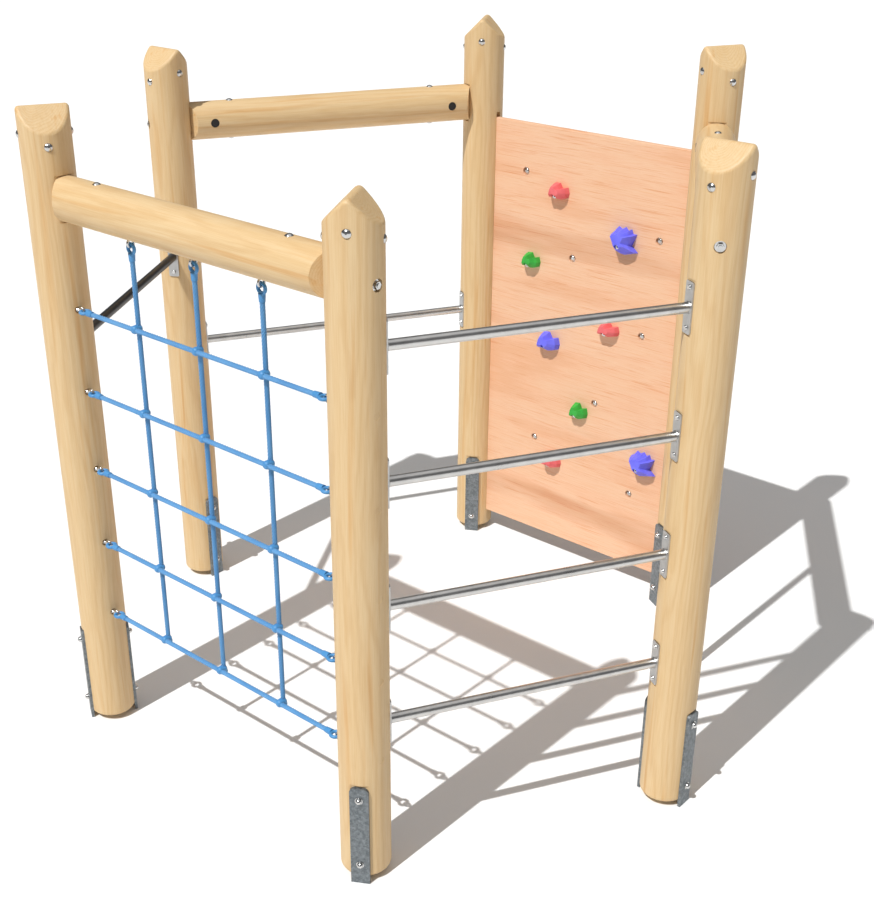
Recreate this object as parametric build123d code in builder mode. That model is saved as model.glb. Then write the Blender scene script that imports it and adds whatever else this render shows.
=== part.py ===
from build123d import *
import math
import os

os.makedirs("parts", exist_ok=True)

# ------------------------------------------------------------------ layout
# Six posts on an equiangular hexagon whose sides alternate short and long.
SHORT_SPAN = 1060.0           # ladder, panel and high-bar sides, axis to axis
LONG_SPAN = 1275.0            # the three sides carrying a wooden beam
SIDE_COUNT = 6
SIDE_TURN = 360.0 / SIDE_COUNT
GROUND = 0.0
FOOT_GAP = 20.0               # post feet stand clear of the ground
OVERCUT = 1.0                 # cutters run this far past a surface

# posts
POST_DIA = 160.0
POST_R = POST_DIA / 2
POST_NAMES = ["post_front", "post_front_right", "post_rear_right",
              "post_rear", "post_rear_left", "post_front_left"]
ANCHOR_NAMES = ["anchors_front", "anchors_front_right", "anchors_rear_right",
                "anchors_rear", "anchors_rear_left", "anchors_front_left"]
LOW_POST = 2150.0
MID_POST = 2200.0
TALL_POST = 2250.0
POST_LENGTHS = [LOW_POST, MID_POST, TALL_POST, TALL_POST, MID_POST, MID_POST]
RIDGE_ROUND = 16.0
EAVE_ROUND = 12.0
FOOT_ROUND = 14.0

# rods through the post heads and the beams, with domed nuts
TIE_DIA = 10.0
TIE_BELOW_RIDGE = 90.0        # rod along the ridge
CROSS_TIE_BELOW_RIDGE = 120.0 # rod across the ridge
SPOT_DIA = 27.0
SPOT_DEPTH = 2.0
CAP_DIA = 25.0                # low domed cap on each rod end
CAP_RIM = 1.5
CAP_H = 8.0
CAP_BORE_DEPTH = 4.0

# ground anchors: two flat bars per post, bolted through it
BAR_W = 60.0
BAR_T = 10.0
BAR_TOP = 370.0
BAR_PROUD = 4.0               # bar face outside the round of the post
BAR_CORNER = 18.0
BAR_END_GAP = 7.0             # seat runs past the bar end
ANCHOR_BOLT_DIA = 12.0
ANCHOR_BOLT_ZS = [75.0, 325.0]
BOLT_CLEAR = 1.0
NUT_FLANGE_DIA = 25.0
NUT_FLANGE_T = 2.5
NUT_DIA = 20.0
NUT_H = 14.0
NUT_BORE_DEPTH = 8.0

# wooden beams
BEAM_DIA = 140.0
BEAM_R = BEAM_DIA / 2
BEAM_Z = 1940.0
BEAM_SEAT_DEPTH = 8.0
BEAM_SEAT_MARGIN = 3.0
NOSE_W = 60.0
BEVEL_ANGLE = 30.0
BEAM_TIE_OUT = 152.0          # rod from the face of the post
STUD_DIA = 12.0
STUD_CLEAR = 1.0
STUD_RECESS_DIA = 36.0
STUD_RECESS_DEPTH = 11.0
STUD_WASHER_DIA = 32.0
STUD_WASHER_T = 3.0
STUD_NUT_AF = 19.0
STUD_NUT_T = 10.0
STUD_PAST_NUT = 3.0
DOWEL_OUT = 80.0              # dowel from the face of the post
DOWEL_DIA = 25.0
DOWEL_LEN = 44.0
DOWEL_CLEAR = 0.25
STUD_PAST_DOWEL = 4.0
PLUG_DIA = 32.0
PLUG_T = 3.0
PLUG_SPIGOT = 14.0
PLUG_CLEAR = 0.5

# steel rungs and bars with welded end plates
TUBE_DIA = 32.0
TUBE_WALL = 2.6
PLATE_SIDE = 4.0              # plate beside the tube
PLATE_H = 155.0
PLATE_T = 5.0
PLATE_CORNER = 6.0
WELD = 3.0
PLATE_SEAT_DEPTH = 3.0
PLATE_SEAT_MARGIN = 6.0
SCREW_END = 17.5              # screw from the end of its plate
SCREW_DIA = 8.0
SCREW_HEAD_DIA = 16.0
SCREW_HEAD_T = 5.0
SCREW_LEN = 60.0
FIRST_RUNG_Z = 550.0
RUNG_PITCH = 400.0
RUNG_COUNT = 4
MID_BAR_Z = 1060.0
HIGH_BAR_Z = 1440.0

# sliding pole and its collar
POLE_DIA = 32.0
POLE_WALL = 3.0
POLE_IN_BEAM = 30.0
COLLAR_FLANGE_W = 12.0        # flange beyond the pole
COLLAR_FLANGE_T = 6.0
COLLAR_SEAT_CLEAR = 1.0
COLLAR_WALL = 6.0
COLLAR_H = 26.0

# rope net
ROPE_DIA = 16.0
ROPE_R = ROPE_DIA / 2
ROPE_OFF = ROPE_R + 0.2       # crossing ropes pass side by side
ROPE_FIRST_Z = 460.0
ROPE_PITCH_Z = 281.0
ROPE_ROWS = 5
ROPE_PITCH_X = 280.0
ROPE_COLS = 3
JOINER_WALL = 5.5             # body beside the rope
JOINER_COVER = 2.5            # shell over the rope, front and back
JOINER_ROUND = 11.0
KNOB_WALL = 5.5
KNOB_DROP = 10.0
RING_R = 14.5
RING_WIRE = 5.5
SLEEVE_WALL = 3.0
SLEEVE_END_WALL = 1.5
SLEEVE_LEN = 24.0
SLEEVE_WEB = 4.0              # solid part between the ring and the rope end
EYE_R = 11.5
EYE_WIRE = 4.0
LINK_GAP = 0.1
EYE_BOLT_DIA = 10.0
EYE_PROUD = 16.5              # eye centre outside the post
EYE_BELOW_BEAM = 18.0         # eye centre below the beam
EYE_SCREW_LEN = 50.0
EYE_NECK_DIA = 18.0
EYE_SINK_DIA = 24.0
EYE_SINK_DEPTH = 6.0
EYE_CLEAR = 0.5
EYE_NUT_RECESS_DIA = 24.0
EYE_NUT_RECESS_DEPTH = 20.0
EYE_WASHER_DIA = 22.0
EYE_WASHER_T = 2.0
EYE_NUT_DIA = 17.0
EYE_NUT_H = 10.0
EYE_NUT_BORE = 6.0
WOOD_PLUG_T = 6.0             # wooden plug over each sunk eye nut
WOOD_PLUG_INSET = 1.0

# climbing panel
PANEL_T = 22.0
PANEL_BOTTOM = 100.0
PANEL_TOP = 1885.0
GROOVE_DEPTH = 25.0
GROOVE_TOP = 1905.0
GROOVE_SIDE_GAP = 0.25
GROOVE_END_GAP = 2.0
PANEL_ROUND = 3.0
HOLD_BOLT_DIA = 10.0
HOLD_HEAD_DIA = 19.0
HOLD_HEAD_T = 6.0
HOLD_SOCKET_AF = 8.0
HOLD_SOCKET_DEPTH = 4.0
HOLD_BORE_DIA = 21.0
# head seat height as a share of the hold depth
HOLD_SEATS = {"crown": 0.66, "wedge": 0.45}
HOLD_POST_CLEAR = 10.0
HOLD_BOLT_DX = -9.0
HOLD_BOLT_DZ = -16.0
PANEL_NUT_RECESS_DIA = 31.0
PANEL_NUT_RECESS_DEPTH = 11.0
PANEL_NUT_FLANGE_DIA = 28.0
PANEL_NUT_FLANGE_T = 2.0
PANEL_NUT_DIA = 22.0
PANEL_NUT_H = 10.0
PANEL_NUT_BORE = 7.0

# name, mould, across, height above ground, width, height, depth (inner face)
INNER_HOLDS = [
    ("hold_red_top", "wedge", -123.0, 1640.0, 90.0, 67.0, 46.0),
    ("hold_blue_top", "crown", 193.0, 1498.0, 122.0, 112.0, 56.0),
    ("hold_green_upper", "wedge", -245.0, 1332.0, 82.0, 66.0, 44.0),
    ("hold_red_middle", "wedge", 148.0, 1124.0, 96.0, 64.0, 46.0),
    ("hold_blue_middle", "wedge", -140.0, 1002.0, 104.0, 82.0, 50.0),
    ("hold_green_lower", "wedge", 29.0, 731.0, 82.0, 72.0, 44.0),
    ("hold_blue_lower", "crown", 355.0, 585.0, 122.0, 110.0, 56.0),
    ("hold_red_bottom", "wedge", -95.0, 462.0, 88.0, 66.0, 46.0),
]
# mould, across (seen from outside), height, width, height, depth (outer face)
OUTER_HOLDS = {
    "outer_holds_red": [
        ("wedge", 303.0, 1709.0, 90.0, 67.0, 46.0),
        ("wedge", -287.0, 1144.0, 96.0, 64.0, 46.0),
    ],
    "outer_holds_blue": [
        ("crown", -333.0, 1540.0, 118.0, 108.0, 56.0),
        ("wedge", -89.0, 799.0, 100.0, 80.0, 50.0),
        ("crown", -285.0, 443.0, 118.0, 108.0, 56.0),
    ],
    "outer_holds_green": [
        ("wedge", 59.0, 1393.0, 82.0, 66.0, 44.0),
        ("wedge", 207.0, 559.0, 82.0, 70.0, 44.0),
    ],
}
# outline of each mould, as shares of its width and height
MOULD_OUTLINES = {
    "crown": [(0.36, 0.12), (0.42, 0.3), (0.28, 0.3), (0.22, 0.46), (0.1, 0.38),
              (0.0, 0.5), (-0.14, 0.4), (-0.26, 0.48), (-0.36, 0.32), (-0.5, 0.2),
              (-0.36, -0.1), (-0.24, -0.42), (0.0, -0.5), (0.5, -0.34), (0.26, -0.12)],
    "wedge": [(0.5, -0.05), (0.42, 0.3), (0.14, 0.2), (0.0, 0.5), (-0.28, 0.46),
              (-0.42, 0.08), (-0.5, -0.46), (-0.32, -0.42), (0.08, -0.5), (0.44, -0.32)],
}
# depth share, size share and shift (shares of the width and height) per layer
MOULD_LAYERS = [(0.0, 1.0, 0.0, 0.0), (0.5, 0.86, 0.0, 0.03), (1.0, 0.5, -0.06, 0.1)]

# ------------------------------------------------------------------ derived
HEX_R = math.sqrt((LONG_SPAN**2 + LONG_SPAN * SHORT_SPAN + SHORT_SPAN**2) / 3)
HALF_LONG = math.degrees(math.asin(LONG_SPAN / 2 / HEX_R))
HALF_SHORT = SIDE_TURN - HALF_LONG
CENTRE_X = HEX_R * (math.cos(math.radians(HALF_SHORT)) - math.cos(math.radians(HALF_LONG))) / 2
LADDER, POLE_SIDE, PANEL_SIDE, MID_SIDE, HIGH_SIDE, NET_SIDE = range(SIDE_COUNT)

CAP_RISE = CAP_H - CAP_RIM
CAP_ARC = ((CAP_DIA / 2)**2 + CAP_RISE**2) / (2 * CAP_RISE)
PLATE_W = TUBE_DIA + 2 * PLATE_SIDE
SCREW_PITCH = PLATE_H - 2 * SCREW_END
COLLAR_FLANGE_DIA = POLE_DIA + 2 * COLLAR_FLANGE_W
COLLAR_SLEEVE_DIA = POLE_DIA + 2 * COLLAR_WALL
JOINER_DIA = ROPE_DIA + 2 * JOINER_WALL
KNOB_R = ROPE_R + KNOB_WALL
SLEEVE_DIA = ROPE_DIA + 2 * SLEEVE_WALL
SLEEVE_END_DIA = ROPE_DIA + 2 * SLEEVE_END_WALL
EYE_OUT = POST_R + EYE_PROUD
DOWEL_INSET = POST_R + DOWEL_OUT
BEAM_TIE_INSET = POST_R + BEAM_TIE_OUT
NOSE_AT = POST_R - BEAM_SEAT_DEPTH
BEVEL_AT = NOSE_AT + (BEAM_R + OVERCUT - NOSE_W / 2) * math.tan(math.radians(BEVEL_ANGLE))
PLATE_AT = POST_R - PLATE_SEAT_DEPTH
BAR_AT = POST_R + BAR_PROUD - BAR_T
STUD_SEAT = POST_R - STUD_RECESS_DEPTH
STUD_BACK = STUD_SEAT + STUD_WASHER_T + STUD_NUT_T + STUD_PAST_NUT
STUD_FRONT = DOWEL_INSET + DOWEL_DIA / 2 + STUD_PAST_DOWEL
BEAM_BOTTOM = BEAM_Z - BEAM_R
EYE_SEAT = POST_R - EYE_SINK_DEPTH
EYE_NUT_SEAT = POST_R - EYE_NUT_RECESS_DEPTH
RING_STEP = EYE_R - EYE_WIRE + RING_R - RING_WIRE - LINK_GAP
ROPE_START = RING_R + RING_WIRE + SLEEVE_WEB
RING_OUT = EYE_OUT + RING_STEP
EYE_Z = BEAM_BOTTOM - EYE_BELOW_BEAM
RING_Z = EYE_Z - RING_STEP
POLE_TOP = BEAM_BOTTOM + POLE_IN_BEAM
COLLAR_SEAT_R = COLLAR_FLANGE_DIA / 2 + COLLAR_SEAT_CLEAR
COLLAR_SEAT_Z = BEAM_Z - math.sqrt(BEAM_R**2 - COLLAR_SEAT_R**2)
ROPE_ZS = [ROPE_FIRST_Z + ROPE_PITCH_Z * row for row in range(ROPE_ROWS)]
ROPE_XS = [LONG_SPAN / 2 + ROPE_PITCH_X * (col - 1) for col in range(ROPE_COLS)]
RUNG_ZS = [FIRST_RUNG_Z + RUNG_PITCH * step for step in range(RUNG_COUNT)]
PANEL_W = SHORT_SPAN - 2 * (POST_R - GROOVE_DEPTH + GROOVE_END_GAP)

# Where each post stands, and its elevation plane: x across the ridge, y up,
# z outwards along the ridge.
stands = []
heads = []
for index in range(SIDE_COUNT):
    half = HALF_SHORT if index % 2 else HALF_LONG
    bearing = math.radians(-2 * SIDE_TURN + SIDE_TURN * index + half)
    stand = Vector(CENTRE_X + HEX_R * math.cos(bearing), HEX_R * math.sin(bearing), 0)
    outward = math.radians(SIDE_TURN * index - 90)
    stands.append(stand)
    heads.append(Plane(
        origin=stand,
        x_dir=(-math.sin(outward), math.cos(outward), 0),
        z_dir=(math.cos(outward), math.sin(outward), 0),
    ))

# Each side: an elevation plane (x along, y up, z outwards) starting at its
# first post, and one plane at either post looking along the side (z along,
# y up) with the sign that turns its x outwards.
walls = []
ends = []
for index in range(SIDE_COUNT):
    facing = math.radians(SIDE_TURN * (index - 1))
    out = Vector(math.cos(facing), math.sin(facing), 0)
    along = Vector(-math.sin(facing), math.cos(facing), 0)
    near, far = stands[index], stands[(index + 1) % SIDE_COUNT]
    walls.append(Plane(origin=near, x_dir=along, z_dir=out))
    ends.append([
        (Plane(origin=near, x_dir=-out, z_dir=along), -1),
        (Plane(origin=far, x_dir=out, z_dir=-along), 1),
    ])
SPANS = [SHORT_SPAN if index % 2 == 0 else LONG_SPAN for index in range(SIDE_COUNT)]
BEAM_SIDES = {"beam_pole_side": POLE_SIDE, "beam_mid_bar_side": MID_SIDE, "beam_net_side": NET_SIDE}
BAR_TABLE = [("rung_%d" % (step + 1), LADDER, RUNG_ZS[step]) for step in range(RUNG_COUNT)]
BAR_TABLE += [("mid_bar", MID_SIDE, MID_BAR_Z), ("high_bar", HIGH_SIDE, HIGH_BAR_Z)]

# ------------------------------------------------------------------ posts
# Turned softwood poles with a gabled head, flats for the anchors, beams and
# plates, and bored for every rod, screw and eye bolt.
for index, label in enumerate(POST_NAMES):
    ridge = FOOT_GAP + POST_LENGTHS[index]
    half_box = POST_R + OVERCUT
    with BuildPart() as post:
        with BuildSketch(Plane(origin=stands[index]).offset(FOOT_GAP)):
            Circle(POST_R)
        extrude(amount=POST_LENGTHS[index])
        with BuildSketch(heads[index]):
            with BuildLine():
                Polyline(
                    (-half_box, GROUND), (half_box, GROUND), (half_box, ridge - half_box),
                    (0, ridge), (-half_box, ridge - half_box), (-half_box, GROUND),
                )
            make_face()
        extrude(amount=POST_DIA, both=True, mode=Mode.INTERSECT)
        fillet(post.edges().group_by(Axis.Z)[-1], RIDGE_ROUND)
        fillet(post.edges().filter_by(GeomType.ELLIPSE), EAVE_ROUND)
        fillet(post.edges().group_by(Axis.Z)[0], FOOT_ROUND)
        # anchor flats, inside and outside
        for way in (1, -1):
            with BuildSketch(heads[index].offset(way * BAR_AT)):
                with Locations((0, (BAR_TOP + BAR_END_GAP) / 2)):
                    Rectangle(POST_DIA, BAR_TOP + BAR_END_GAP)
            extrude(amount=way * POST_R, mode=Mode.SUBTRACT)
        with BuildSketch(heads[index]):
            with Locations([(0, z) for z in ANCHOR_BOLT_ZS]):
                Circle((ANCHOR_BOLT_DIA + BOLT_CLEAR) / 2)
        extrude(amount=POST_DIA, both=True, mode=Mode.SUBTRACT)
        # rods in the head, along and across the ridge, with spot faces
        across = Plane(
            origin=stands[index], x_dir=-heads[index].z_dir, z_dir=heads[index].x_dir,
        )
        for plane, z in ((heads[index], ridge - TIE_BELOW_RIDGE), (across, ridge - CROSS_TIE_BELOW_RIDGE)):
            with BuildSketch(plane):
                with Locations((0, z)):
                    Circle(TIE_DIA / 2)
            extrude(amount=POST_DIA, both=True, mode=Mode.SUBTRACT)
            for way in (1, -1):
                with BuildSketch(plane.offset(way * (POST_R - SPOT_DEPTH))):
                    with Locations((0, z)):
                        Circle(SPOT_DIA / 2)
                extrude(amount=way * POST_R, mode=Mode.SUBTRACT)
        # what the two neighbouring sides need
        for side, turn in ((index, 0), ((index - 1) % SIDE_COUNT, 1)):
            plane, sign = ends[side][turn]
            if side in BEAM_SIDES.values():
                with BuildSketch(plane.offset(NOSE_AT)):
                    with Locations((0, BEAM_Z)):
                        Rectangle(POST_DIA, BEAM_DIA + 2 * BEAM_SEAT_MARGIN)
                extrude(amount=POST_R, mode=Mode.SUBTRACT)
                with BuildSketch(plane):
                    with Locations((0, BEAM_Z)):
                        Circle((STUD_DIA + STUD_CLEAR) / 2)
                extrude(amount=POST_DIA, both=True, mode=Mode.SUBTRACT)
                with BuildSketch(plane.offset(-STUD_SEAT)):
                    with Locations((0, BEAM_Z)):
                        Circle(STUD_RECESS_DIA / 2)
                extrude(amount=-POST_R, mode=Mode.SUBTRACT)
            plate_zs = [z for bar, bar_side, z in BAR_TABLE if bar_side == side]
            if plate_zs:
                with BuildSketch(plane.offset(PLATE_AT)):
                    with Locations([(0, z) for z in plate_zs]):
                        Rectangle(POST_DIA, PLATE_H + 2 * PLATE_SEAT_MARGIN)
                extrude(amount=POST_R, mode=Mode.SUBTRACT)
                with BuildSketch(plane.offset(PLATE_AT + PLATE_T - SCREW_LEN)):
                    for z in plate_zs:
                        with Locations((0, z - SCREW_PITCH / 2), (0, z + SCREW_PITCH / 2)):
                            Circle(SCREW_DIA / 2)
                extrude(amount=SCREW_LEN, mode=Mode.SUBTRACT)
            if side == PANEL_SIDE:
                with BuildSketch(plane.offset(POST_R - GROOVE_DEPTH)):
                    with Locations((0, (PANEL_BOTTOM + GROOVE_TOP) / 2)):
                        Rectangle(PANEL_T + 2 * GROOVE_SIDE_GAP, GROOVE_TOP - PANEL_BOTTOM)
                extrude(amount=POST_R, mode=Mode.SUBTRACT)
            if side == NET_SIDE:
                spots = [(sign * ROPE_OFF, z) for z in ROPE_ZS]
                with BuildSketch(plane):
                    with Locations(spots):
                        Circle((EYE_BOLT_DIA + EYE_CLEAR) / 2)
                extrude(amount=POST_DIA, both=True, mode=Mode.SUBTRACT)
                with BuildSketch(plane.offset(EYE_SEAT)):
                    with Locations(spots):
                        Circle(EYE_SINK_DIA / 2)
                extrude(amount=POST_R, mode=Mode.SUBTRACT)
                with BuildSketch(plane.offset(-EYE_NUT_SEAT)):
                    with Locations(spots):
                        Circle(EYE_NUT_RECESS_DIA / 2)
                extrude(amount=-POST_R, mode=Mode.SUBTRACT)
    post.part.label = label
    export_step(post.part, "parts/%s.step" % label)

# ------------------------------------------------------------------ anchors
# A pair of flat galvanised bars per post, rounded at the top, running down
# into the ground.
for index, label in enumerate(ANCHOR_NAMES):
    with BuildPart() as anchors:
        for way in (1, -1):
            with BuildSketch(heads[index].offset(way * BAR_AT)) as bar:
                with Locations((0, BAR_TOP / 2)):
                    Rectangle(BAR_W, BAR_TOP)
                fillet(bar.vertices().group_by(Axis.Y)[-1], BAR_CORNER)
                with Locations([(0, z) for z in ANCHOR_BOLT_ZS]):
                    Circle((ANCHOR_BOLT_DIA + BOLT_CLEAR) / 2, mode=Mode.SUBTRACT)
            extrude(amount=way * BAR_T)
    anchors.part.label = label
    export_step(anchors.part, "parts/%s.step" % label)

# ------------------------------------------------------------------ beams
# Round poles with a flat nose and two bevels at each end, drilled for the
# long studs, the cross dowels, the vertical rods and what hangs below.
for label, side in BEAM_SIDES.items():
    wall = walls[side]
    plan = Plane(origin=wall.origin, x_dir=wall.x_dir, z_dir=(0, 0, 1)).offset(BEAM_Z)
    with BuildPart() as beam:
        with BuildSketch(ends[side][0][0].offset(NOSE_AT)):
            with Locations((0, BEAM_Z)):
                Circle(BEAM_R)
        extrude(amount=LONG_SPAN - 2 * NOSE_AT)
        wide = BEAM_R + OVERCUT
        with BuildSketch(plan):
            with BuildLine():
                Polyline(
                    (NOSE_AT, -NOSE_W / 2), (BEVEL_AT, -wide),
                    (LONG_SPAN - BEVEL_AT, -wide), (LONG_SPAN - NOSE_AT, -NOSE_W / 2),
                    (LONG_SPAN - NOSE_AT, NOSE_W / 2), (LONG_SPAN - BEVEL_AT, wide),
                    (BEVEL_AT, wide), (NOSE_AT, NOSE_W / 2), (NOSE_AT, -NOSE_W / 2),
                )
            make_face()
        extrude(amount=BEAM_DIA, both=True, mode=Mode.INTERSECT)
        # vertical rods with spot faces above and below
        with BuildSketch(plan):
            with Locations((BEAM_TIE_INSET, 0), (LONG_SPAN - BEAM_TIE_INSET, 0)):
                Circle(TIE_DIA / 2)
        extrude(amount=BEAM_DIA, both=True, mode=Mode.SUBTRACT)
        for way in (1, -1):
            with BuildSketch(plan.offset(way * (BEAM_R - SPOT_DEPTH))):
                with Locations((BEAM_TIE_INSET, 0), (LONG_SPAN - BEAM_TIE_INSET, 0)):
                    Circle(SPOT_DIA / 2)
            extrude(amount=way * BEAM_R, mode=Mode.SUBTRACT)
        # stud bores in both ends
        for plane, sign in ends[side]:
            with BuildSketch(plane.offset(NOSE_AT)):
                with Locations((0, BEAM_Z)):
                    Circle((STUD_DIA + STUD_CLEAR) / 2)
            extrude(amount=STUD_FRONT + STUD_CLEAR - NOSE_AT, mode=Mode.SUBTRACT)
        # dowel bores from the inner face, spot faced for the plugs
        dowel_spots = [(DOWEL_INSET, BEAM_Z), (LONG_SPAN - DOWEL_INSET, BEAM_Z)]
        with BuildSketch(wall.offset(DOWEL_LEN / 2)):
            with Locations(dowel_spots):
                Circle(DOWEL_DIA / 2 + DOWEL_CLEAR)
        extrude(amount=-BEAM_DIA, mode=Mode.SUBTRACT)
        with BuildSketch(wall.offset(PLUG_T - BEAM_R)):
            with Locations(dowel_spots):
                Circle(PLUG_DIA / 2 + PLUG_CLEAR)
        extrude(amount=-BEAM_R, mode=Mode.SUBTRACT)
        if side == NET_SIDE:
            with BuildSketch(plan.offset(BEAM_BOTTOM - BEAM_Z - OVERCUT)):
                with Locations([(x, ROPE_OFF) for x in ROPE_XS]):
                    Circle(EYE_BOLT_DIA / 2)
            extrude(amount=EYE_SCREW_LEN + OVERCUT, mode=Mode.SUBTRACT)
        if side == POLE_SIDE:
            with BuildSketch(plan.offset(BEAM_BOTTOM - BEAM_Z - OVERCUT)):
                with Locations((LONG_SPAN / 2, 0)):
                    Circle(POLE_DIA / 2)
            extrude(amount=POLE_IN_BEAM + OVERCUT, mode=Mode.SUBTRACT)
            with BuildSketch(plan.offset(COLLAR_SEAT_Z - BEAM_Z)):
                with Locations((LONG_SPAN / 2, 0)):
                    Circle(COLLAR_SEAT_R)
            extrude(amount=-BEAM_R, mode=Mode.SUBTRACT)
    beam.part.label = label
    export_step(beam.part, "parts/%s.step" % label)

# ------------------------------------------------------------------ rungs
# Four ladder rungs, the middle bar and the high bar: plain tubes that end on
# upright plates.
for label, side, height in BAR_TABLE:
    with BuildPart() as bar:
        with BuildSketch(ends[side][0][0].offset(PLATE_AT + PLATE_T)):
            with Locations((0, height)):
                Circle(TUBE_DIA / 2)
                Circle(TUBE_DIA / 2 - TUBE_WALL, mode=Mode.SUBTRACT)
        extrude(amount=SPANS[side] - 2 * (PLATE_AT + PLATE_T))
    bar.part.label = label
    export_step(bar.part, "parts/%s.step" % label)

# End plates let into the posts, with the weld bead round each tube.
with BuildPart() as bar_plates:
    for label, side, height in BAR_TABLE:
        for plane, sign in ends[side]:
            screws = [(0, height - SCREW_PITCH / 2), (0, height + SCREW_PITCH / 2)]
            with BuildSketch(plane.offset(PLATE_AT)):
                with Locations((0, height)):
                    RectangleRounded(PLATE_W, PLATE_H, PLATE_CORNER)
                with Locations(screws):
                    Circle(SCREW_DIA / 2, mode=Mode.SUBTRACT)
            extrude(amount=PLATE_T)
            with BuildSketch(plane.offset(PLATE_AT + PLATE_T)):
                with Locations((0, height)):
                    Circle(TUBE_DIA / 2 + WELD)
            extrude(amount=WELD, taper=30)
            with BuildSketch(plane.offset(PLATE_AT + PLATE_T)):
                with Locations((0, height)):
                    Circle(TUBE_DIA / 2)
            extrude(amount=WELD, mode=Mode.SUBTRACT)
bar_plates.part.label = "bar_plates"
export_step(bar_plates.part, "parts/bar_plates.step")

# Pan-head screws, two to a plate.
with BuildPart() as bar_screws:
    for label, side, height in BAR_TABLE:
        for plane, sign in ends[side]:
            spots = [(0, height - SCREW_PITCH / 2), (0, height + SCREW_PITCH / 2)]
            with BuildSketch(plane.offset(PLATE_AT + PLATE_T - SCREW_LEN)):
                with Locations(spots):
                    Circle(SCREW_DIA / 2)
            extrude(amount=SCREW_LEN)
            with BuildSketch(plane.offset(PLATE_AT + PLATE_T)):
                with Locations(spots):
                    Circle(SCREW_HEAD_DIA / 2)
            extrude(amount=SCREW_HEAD_T, taper=25)
bar_screws.part.label = "bar_screws"
export_step(bar_screws.part, "parts/bar_screws.step")

# ------------------------------------------------------------------ pole
pole_foot = Plane(origin=walls[POLE_SIDE].origin, x_dir=walls[POLE_SIDE].x_dir, z_dir=(0, 0, 1))
with BuildPart() as pole:
    with BuildSketch(pole_foot):
        with Locations((LONG_SPAN / 2, 0)):
            Circle(POLE_DIA / 2)
            Circle(POLE_DIA / 2 - POLE_WALL, mode=Mode.SUBTRACT)
    extrude(amount=POLE_TOP)
pole.part.label = "pole"
export_step(pole.part, "parts/pole.step")

# Collar: a flange let into the underside of the beam and a sleeve below it.
with BuildPart() as pole_collar:
    with BuildSketch(pole_foot.offset(COLLAR_SEAT_Z)):
        with Locations((LONG_SPAN / 2, 0)):
            Circle(COLLAR_FLANGE_DIA / 2)
    extrude(amount=-COLLAR_FLANGE_T)
    with BuildSketch(pole_foot.offset(COLLAR_SEAT_Z)):
        with Locations((LONG_SPAN / 2, 0)):
            Circle(COLLAR_SLEEVE_DIA / 2)
    extrude(amount=-COLLAR_H)
    with BuildSketch(pole_foot.offset(COLLAR_SEAT_Z)):
        with Locations((LONG_SPAN / 2, 0)):
            Circle(POLE_DIA / 2)
    extrude(amount=-COLLAR_H, mode=Mode.SUBTRACT)
pole_collar.part.label = "pole_collar"
export_step(pole_collar.part, "parts/pole_collar.step")

# ------------------------------------------------------------------ fasteners
# Low domed cap that closes the end of a rod.
with BuildPart() as rod_cap:
    with BuildSketch(Plane.XZ):
        with BuildLine():
            Polyline((TIE_DIA / 2, 0), (CAP_DIA / 2, 0), (CAP_DIA / 2, CAP_RIM))
            RadiusArc((CAP_DIA / 2, CAP_RIM), (0, CAP_H), -CAP_ARC)
            Polyline((0, CAP_H), (0, CAP_BORE_DEPTH), (TIE_DIA / 2, CAP_BORE_DEPTH), (TIE_DIA / 2, 0))
        make_face()
    revolve(axis=Axis.Z)

rod_lines = []
for index in range(SIDE_COUNT):
    ridge = FOOT_GAP + POST_LENGTHS[index]
    head = heads[index]
    reach = POST_R - SPOT_DEPTH
    rod_lines.append((stands[index] + Vector(0, 0, ridge - TIE_BELOW_RIDGE), head.z_dir, reach))
    rod_lines.append((stands[index] + Vector(0, 0, ridge - CROSS_TIE_BELOW_RIDGE), head.x_dir, reach))
for side in BEAM_SIDES.values():
    for inset in (BEAM_TIE_INSET, LONG_SPAN - BEAM_TIE_INSET):
        spot = walls[side].from_local_coords((inset, BEAM_Z, 0))
        rod_lines.append((spot, Vector(0, 0, 1), BEAM_R - SPOT_DEPTH))

with BuildPart() as tie_rods:
    for centre, axis, reach in rod_lines:
        with BuildSketch(Plane(origin=centre, z_dir=axis)):
            Circle(TIE_DIA / 2)
        extrude(amount=reach + CAP_BORE_DEPTH, both=True)
tie_rods.part.label = "tie_rods"
export_step(tie_rods.part, "parts/tie_rods.step")

with BuildPart() as dome_nuts:
    for centre, axis, reach in rod_lines:
        for way in (1, -1):
            with Locations(Plane(origin=centre + axis * (way * reach), z_dir=axis * way)):
                add(rod_cap.part, clean=False)
dome_nuts.part.label = "dome_nuts"
export_step(dome_nuts.part, "parts/dome_nuts.step")

# Anchor bolts with tall domed nuts on flanges.
with BuildPart() as anchor_nut:
    with BuildSketch(Plane.XZ):
        with BuildLine():
            Polyline(
                (ANCHOR_BOLT_DIA / 2, 0), (NUT_FLANGE_DIA / 2, 0),
                (NUT_FLANGE_DIA / 2, NUT_FLANGE_T), (NUT_DIA / 2, NUT_FLANGE_T),
                (NUT_DIA / 2, NUT_H - NUT_DIA / 2),
            )
            RadiusArc((NUT_DIA / 2, NUT_H - NUT_DIA / 2), (0, NUT_H), -NUT_DIA / 2)
            Polyline(
                (0, NUT_H), (0, NUT_BORE_DEPTH), (ANCHOR_BOLT_DIA / 2, NUT_BORE_DEPTH),
                (ANCHOR_BOLT_DIA / 2, 0),
            )
        make_face()
    revolve(axis=Axis.Z)

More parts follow.
